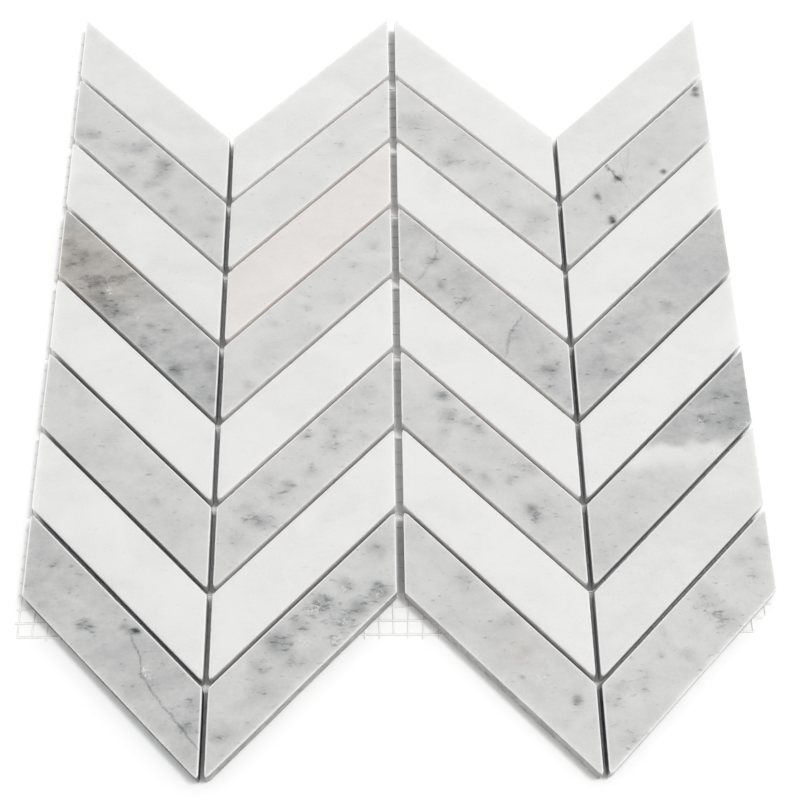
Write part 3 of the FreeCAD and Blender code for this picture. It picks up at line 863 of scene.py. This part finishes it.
rowMiddles = [sum(corner.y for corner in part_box(chipNode(row, 1))) / 2 for row in (1, 2, sheet["rows"])]
rowJoint = rowMiddles[0] - rowMiddles[1] - chipSide          # measured straight up
columnPitch = farRow[1][0].x - farRow[0][0].x
middleJoint = farRow[2][0].x - farRow[1][1].x
middleShift = (middleJoint - columnPitch + chipAcross) / 2   # the middle joint is the wider one
peakRise = chipSide / 2 + columnPitch / 2 * math.tan(cut)
farPeak = rowMiddles[0] + peakRise
nearPeak = rowMiddles[2] + peakRise - chipSide
netTree = makeNetTree(netLook)
fibre = makeFibre(fibreLook)
for node in ("mesh_lengthwise_yarns", "mesh_crosswise_yarns"):
    low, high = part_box(node)
    crosswise = "crosswise" in node
    spread, span = (high.y - low.y, high.x - low.x) if crosswise else (high.x - low.x, high.y - low.y)
    step = netLook["pitch"] / netLook["stepsPerPitch"]
    net = meshFromTree(node + ".fibre", netTree, netLook, {
        "Yarns": round((spread - netLook["solidWidth"]) / netLook["pitch"]) + 1,
        "First": (low.y if crosswise else low.x) + netLook["solidWidth"] / 2,
        "Points": 2 * (math.ceil(span / 2 / step) + netLook["spareSteps"]) + 1,
        "Step": step,
        "Height": (low.z + high.z) / 2 + (-1 if crosswise else 1) * netLook["crimp"],
        "Crosswise": crosswise,
        "Crimp": netLook["crimp"] * (1 if crosswise else -1),
        "Column Pitch": columnPitch,
        "Slope": math.tan(cut),
        "Far Peak": farPeak - netLook["edgeInset"],
        "Near Peak": nearPeak + netLook["edgeInset"],
        "Middle Shift": middleShift,
        "Notch Line": nearPeak - rowJoint / 2 - netLook["notchFill"],
        "Half Width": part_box("mesh_crosswise_yarns")[1].x,
        "Material": fibre,
    })
    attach(net, "root")
    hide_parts(node)
    print(node, "ready, triangles:", countTriangles(net))


# Stage, light and camera

viewLook = {
    "position": (-0.01287, -0.30241, 0.54281),
    "turn": (28.3157, -0.5504, -0.664),      # degrees about X, Y and Z
    "focalPixels": 1450.0,
    "framePixels": 800.0,
    "centrePixels": (386.8, 375.6),          # where the lens axis meets the picture
    "sensor": 36.0,
}
cameraData = bpy.data.cameras.new("camera")
cameraData.sensor_width = viewLook["sensor"]
cameraData.lens = viewLook["focalPixels"] / viewLook["framePixels"] * viewLook["sensor"]
cameraData.shift_x = 0.5 - viewLook["centrePixels"][0] / viewLook["framePixels"]
cameraData.shift_y = viewLook["centrePixels"][1] / viewLook["framePixels"] - 0.5
camera = bpy.data.objects.new("camera", cameraData)
camera.location = viewLook["position"]
camera.rotation_euler = [math.radians(angle) for angle in viewLook["turn"]]
bpy.context.scene.collection.objects.link(camera)
bpy.context.scene.camera = camera

stageLook = {
    "reach": 30.0,                           # metres each way
    "floor": "#f3f3f3", "floorRoughness": 0.9,
    "sky": "#ffffff", "skyStrength": 0.75,
    "lampFrom": (1.55, -0.1, 4.5), "lampSize": 1.1, "lampPower": 105,
}
reach = stageLook["reach"]
floorMesh = bpy.data.meshes.new("floor")
floorMesh.from_pydata([(-reach, -reach, 0), (reach, -reach, 0), (reach, reach, 0), (-reach, reach, 0)],
                      [], [(0, 1, 2, 3)])
floor = bpy.data.objects.new("floor", floorMesh)
bpy.context.scene.collection.objects.link(floor)
floorPaint = bpy.data.materials.new("paleFloor")
floorPaint.use_nodes = True
floorShader = floorPaint.node_tree.nodes["Principled BSDF"]
floorShader.inputs["Base Color"].default_value = linear(stageLook["floor"])
floorShader.inputs["Roughness"].default_value = stageLook["floorRoughness"]
floorMesh.materials.append(floorPaint)

world = bpy.data.worlds.new("studio")
bpy.context.scene.world = world
world.use_nodes = True
sky = world.node_tree.nodes["Background"]
sky.inputs["Color"].default_value = linear(stageLook["sky"])
sky.inputs["Strength"].default_value = stageLook["skyStrength"]

lampData = bpy.data.lights.new("softbox", "AREA")
lampData.size = stageLook["lampSize"]
lampData.energy = stageLook["lampPower"]
lamp = bpy.data.objects.new("softbox", lampData)
lamp.location = stageLook["lampFrom"]
lamp.rotation_euler = (-Vector(stageLook["lampFrom"])).to_track_quat("-Z", "Y").to_euler()
bpy.context.scene.collection.objects.link(lamp)
bpy.context.scene.view_settings.view_transform = "Standard"
print("stage ready")
